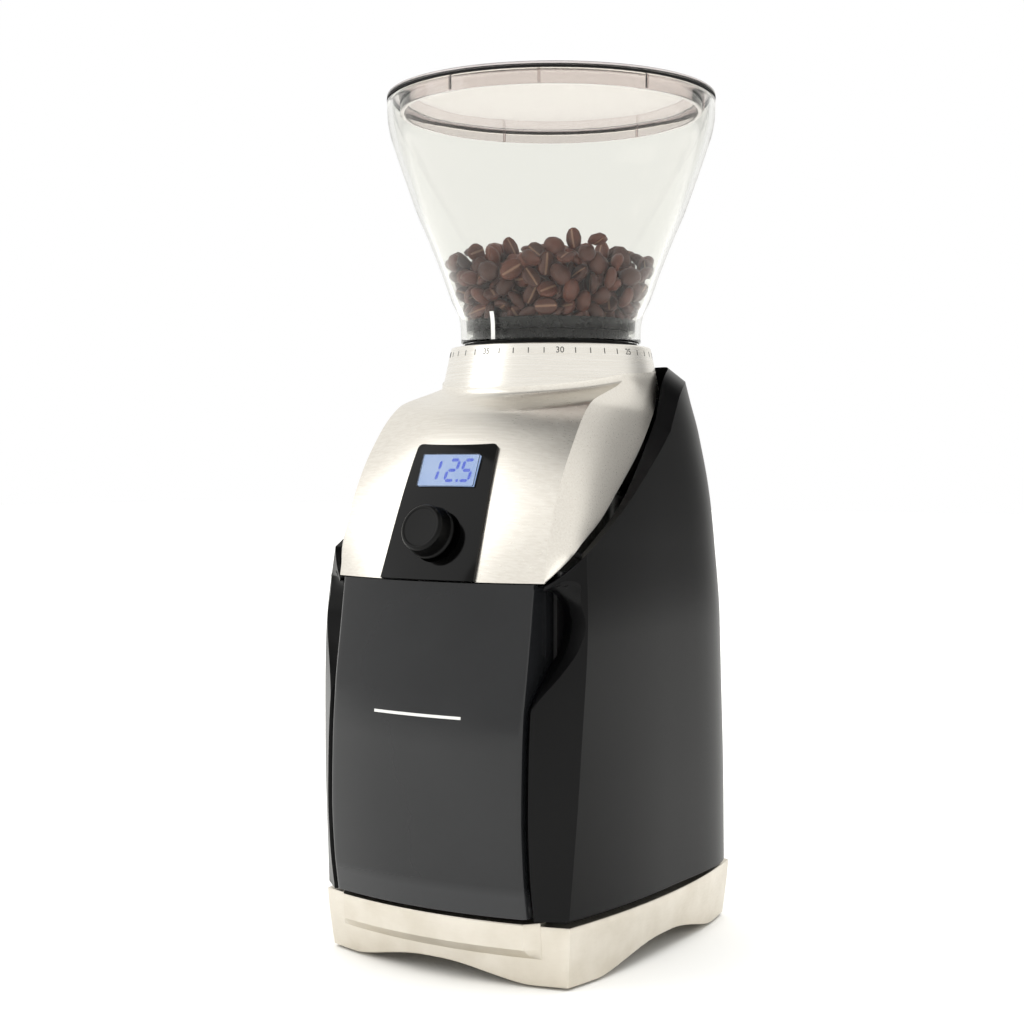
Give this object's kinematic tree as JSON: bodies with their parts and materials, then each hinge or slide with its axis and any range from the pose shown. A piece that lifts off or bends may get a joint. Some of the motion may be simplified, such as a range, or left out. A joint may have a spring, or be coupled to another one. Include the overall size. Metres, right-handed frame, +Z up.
{
  "type": "burr coffee grinder",
  "caption": "Electric conical burr coffee grinder with a clear bean hopper that turns to set the grind, a brushed hood with display and knob, a pull-out grounds bin and a cast base.",
  "frame": {"origin": "middle of the grinder's bounding box, on the surface that the rubber feet stand on", "axes": "+Z up, -Y towards the user (the bin and display face -Y), +X to the user's right"},
  "size_m": [0.1384, 0.1674, 0.3519],
  "materials": {
    "cast_zinc": "satin nickel-coated zinc casting",
    "rubber": "moulded",
    "steel": "machined",
    "black_abs": "moulded",
    "black_body": "satin-gloss moulded ABS",
    "brushed_hood": "fine brushed, satin lacquer",
    "panel_gloss": "polished inlay",
    "window_clear": "clear",
    "lcd_backlit": "backlit display",
    "circuit_board": "solder mask",
    "knob_black": "gloss side, satin face",
    "smoke_bin": "smoke-tinted, polished",
    "gearbox_cast": "die-cast",
    "zinc_plate": "plated can",
    "ferrite": "sintered",
    "brass": "hobbed",
    "copper_winding": "enamelled wire on steel",
    "acetal": "moulded acetal",
    "burr_steel": "hardened",
    "collar_black": "gloss moulded",
    "clear_hopper": "clear, faint smoke tint",
    "smoke_lid": "clear, smoke tint",
    "component_black": "moulded",
    "wire_red": "insulation",
    "wire_grey": "insulation"
  },
  "bodies": {
    "root": {"base_casting": "cast_zinc", "rubber_feet": "rubber", "base_screws": "steel", "chassis_tray": "black_abs", "body_shell": "black_body", "hood": "brushed_hood", "hood_screws": "steel", "control_panel": "panel_gloss", "display_window": "window_clear", "lcd_module": "lcd_backlit", "display_board": "circuit_board", "encoder_body": "steel", "bin_bay": "black_abs", "gearbox_lower": "gearbox_cast", "gearbox_upper": "gearbox_cast", "gearbox_screws": "steel", "grounds_chute": "black_abs", "motor_can": "zinc_plate", "motor_magnets": "ferrite", "motor_end_cap": "black_abs", "motor_screws": "steel", "idler_pin": "steel", "bearing_lower": "steel", "bearing_upper": "steel", "shaft_seal": "rubber", "main_board": "circuit_board", "power_parts": "component_black", "cord_gland": "black_abs", "motor_leads": "wire_red", "display_cable": "wire_grey"},
    "burr_drive": {"drive_shaft": "steel", "final_gear": "acetal", "sweeper": "acetal", "cone_burr": "burr_steel", "burr_screw": "steel"},
    "idler": {"idler_gear": "acetal"},
    "motor_rotor": {"motor_shaft": "steel", "motor_pinion": "brass", "armature": "copper_winding"},
    "carrier": {"ring_burr_carrier": "black_abs", "ring_burr": "burr_steel", "carrier_screws": "steel", "carrier_seal": "rubber"},
    "adjuster": {"adjust_ring": "black_abs"},
    "hopper_body": {"hopper": "clear_hopper", "hopper_collar": "collar_black", "hopper_seal": "rubber"},
    "lid_body": {"hopper_lid": "smoke_lid", "lid_seal": "rubber"},
    "bin_body": {"bin_tub": "smoke_bin", "bin_front": "smoke_bin"},
    "push_body": {"encoder_plunger": "steel"},
    "knob_body": {"encoder_shaft": "steel", "knob": "knob_black"}
  },
  "joints": [
    {"name": "burr_spin", "type": "hinge", "parent": "root", "child": "burr_drive", "pos_m": [0, 0.01455, 0.2], "axis": [0, 0, 1], "continuous": true},
    {"name": "idler_spin", "type": "hinge", "parent": "root", "child": "idler", "pos_m": [-0.02738, 0.04018, 0.165], "axis": [0, 0, 1], "continuous": true},
    {"name": "motor_spin", "type": "hinge", "parent": "root", "child": "motor_rotor", "pos_m": [0, 0.04605, 0.12], "axis": [0, 0, 1], "continuous": true},
    {"name": "adjust_turn", "type": "hinge", "parent": "root", "child": "adjuster", "pos_m": [0, 0.01455, 0.24], "axis": [0, 0, 1], "range_deg": [-42.5, 297.5]},
    {"name": "carrier_slide", "type": "slide", "parent": "root", "child": "carrier", "axis": [0, 0, 1], "range_m": [-0.00176, 0.00026]},
    {"name": "hopper_lift", "type": "slide", "parent": "adjuster", "child": "hopper_body", "axis": [0, 0, 1], "range_m": [0, 0.04]},
    {"name": "lid_lift", "type": "slide", "parent": "hopper_body", "child": "lid_body", "axis": [0, 0, 1], "range_m": [0, 0.03]},
    {"name": "bin_slide", "type": "slide", "parent": "root", "child": "bin_body", "axis": [0, -1, 0], "range_m": [0, 0.1]},
    {"name": "knob_press", "type": "slide", "parent": "root", "child": "push_body", "axis": [0, 0.9397, -0.342], "range_m": [0, 0.0006], "stiffness_N_per_m": 2500, "springref_m": -0.0004},
    {"name": "knob_turn", "type": "hinge", "parent": "push_body", "child": "knob_body", "pos_m": [0, -0.06846, 0.17001], "axis": [0, -0.9397, 0.342], "continuous": true}
  ],
  "couplings": [
    {"joint": "idler_spin", "follows": "burr_spin", "ratio": -3.6154},
    {"joint": "motor_spin", "follows": "burr_spin", "ratio": 13.256},
    {"joint": "carrier_slide", "follows": "adjust_turn", "m_per_rad": -0.000337}
  ]
}
